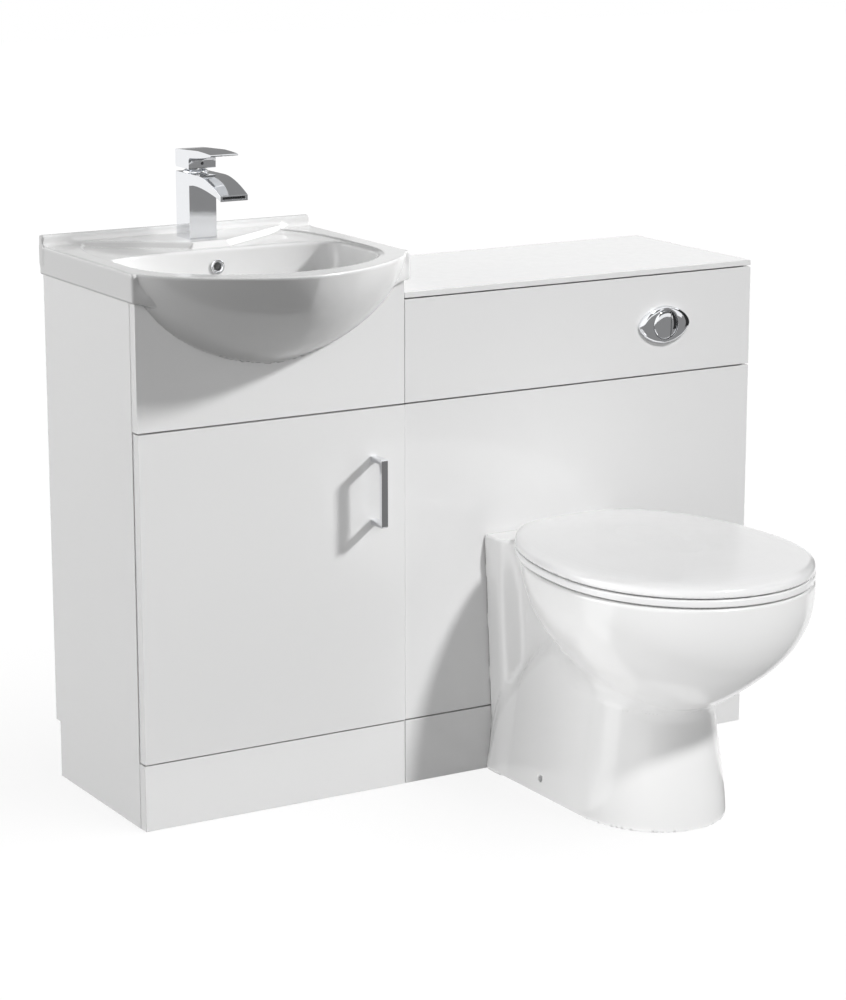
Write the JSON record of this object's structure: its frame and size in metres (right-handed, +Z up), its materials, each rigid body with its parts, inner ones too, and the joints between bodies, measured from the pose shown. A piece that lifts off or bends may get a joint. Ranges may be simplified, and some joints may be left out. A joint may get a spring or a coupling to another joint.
{
  "type": "toilet and basin combination unit",
  "caption": "White vanity unit with a semi-recessed basin, waterfall mixer tap and door, joined to a toilet unit with hidden cistern, flush button, back-to-wall pan, seat and lid.",
  "frame": {"origin": "middle of the footprint box, on the floor", "axes": "+X to the right seen from the front, +Y towards the wall, +Z up"},
  "size_m": [1.107, 0.8896, 0.9901],
  "materials": {
    "board_gloss": "gloss white foil on particle board",
    "ceramic": "white glaze",
    "chrome": "polished chrome plate",
    "steel": "zinc plated",
    "seat_plastic": "gloss white",
    "white_plastic": "white moulded",
    "buffer_plastic": "soft white",
    "black_plastic": "black moulded",
    "cistern_plastic": "pale grey moulded",
    "valve_plastic": "blue grey moulded",
    "rubber": "black"
  },
  "bodies": {
    "base": {"vanity_sides": "board_gloss", "vanity_floor": "board_gloss", "vanity_rails": "board_gloss", "vanity_fascia": "board_gloss", "vanity_plinth": "board_gloss", "hinge_arms": "steel", "hinge_plates": "steel", "hinge_screws": "steel", "wall_brackets": "steel", "basin": "ceramic", "overflow_ring": "chrome", "waste_body": "chrome", "waste_seals": "rubber", "waste_nut": "steel", "trap_body": "white_plastic", "trap_cup": "white_plastic", "trap_nuts": "white_plastic", "trap_outlet": "white_plastic", "tap_body": "chrome", "spout_former": "black_plastic", "tap_cartridge": "white_plastic", "cartridge_nut": "chrome", "tap_gasket": "rubber", "tap_fixings": "steel", "wc_sides": "board_gloss", "wc_worktop": "board_gloss", "wc_panel_upper": "board_gloss", "wc_panel_lower": "board_gloss", "wc_plinth": "board_gloss", "wc_rails": "board_gloss", "flush_bezel": "chrome", "flush_housing": "black_plastic", "cistern_tank": "cistern_plastic", "cistern_lid": "cistern_plastic", "flush_valve": "valve_plastic", "fill_valve": "valve_plastic", "flush_pipe": "white_plastic", "flush_cone": "rubber", "soil_connector": "white_plastic", "pan": "ceramic", "seat_hinges": "steel", "pan_fixings": "steel"},
    "door": {"cabinet_door": "board_gloss", "door_handle": "chrome", "door_screws": "steel", "hinge_cups": "steel", "door_buffers": "buffer_plastic"},
    "hinge_link_pair": {"hinge_links": "steel"},
    "tap_swivel": {"tap_spindle": "white_plastic"},
    "tap_lever_body": {"tap_lever": "chrome", "lever_screw": "black_plastic"},
    "plug": {"waste_plug": "chrome"},
    "button_full": {"flush_button_full": "chrome"},
    "button_half": {"flush_button_half": "chrome"},
    "lifter": {"flush_lifter": "valve_plastic"},
    "float": {"fill_float": "white_plastic"},
    "seat": {"seat_ring": "seat_plastic", "seat_buffers": "buffer_plastic"},
    "lid": {"seat_lid": "seat_plastic", "lid_buffers": "buffer_plastic"}
  },
  "joints": [
    {"name": "door_hinge", "type": "hinge", "parent": "base", "child": "door", "pos_m": [-0.53984, 0.12757, 0.3565], "axis": [0, 0, -1], "range_deg": [0, 100]},
    {"name": "link_hinge", "type": "hinge", "parent": "base", "child": "hinge_link_pair", "pos_m": [-0.5254, 0.13106, 0.3565], "axis": [0, 0, -1], "range_deg": [0, 116.2]},
    {"name": "tap_turn", "type": "hinge", "parent": "base", "child": "tap_swivel", "pos_m": [-0.3215, 0.37, 0.9525], "axis": [0, 0, 1], "range_deg": [-45, 45]},
    {"name": "tap_lift", "type": "hinge", "parent": "tap_swivel", "child": "tap_lever_body", "pos_m": [-0.3215, 0.382, 0.9621], "axis": [-1, 0, 0], "range_deg": [0, 20]},
    {"name": "plug_slide", "type": "slide", "parent": "base", "child": "plug", "axis": [0, 0, 1], "range_m": [0, 0.008]},
    {"name": "button_full_slide", "type": "slide", "parent": "base", "child": "button_full", "axis": [0, 1, 0], "range_m": [0, 0.005], "stiffness_N_per_m": 500},
    {"name": "button_half_slide", "type": "slide", "parent": "base", "child": "button_half", "axis": [0, 1, 0], "range_m": [0, 0.005], "stiffness_N_per_m": 400},
    {"name": "lifter_slide", "type": "slide", "parent": "base", "child": "lifter", "axis": [0, 0, 1], "range_m": [0, 0.012]},
    {"name": "float_slide", "type": "slide", "parent": "base", "child": "float", "axis": [0, 0, 1], "range_m": [0, 0.04]},
    {"name": "seat_hinge", "type": "hinge", "parent": "base", "child": "seat", "pos_m": [0.1705, 0.054, 0.401], "axis": [-1, 0, 0], "range_deg": [0, 94]},
    {"name": "lid_hinge", "type": "hinge", "parent": "seat", "child": "lid", "pos_m": [0.1705, 0.054, 0.401], "axis": [1, 0, 0], "range_deg": [-94, 0]}
  ],
  "couplings": [
    {"joint": "link_hinge", "follows": "door_hinge", "ratio": 1.16},
    {"joint": "lifter_slide", "follows": "button_full_slide", "ratio": 2.4}
  ]
}
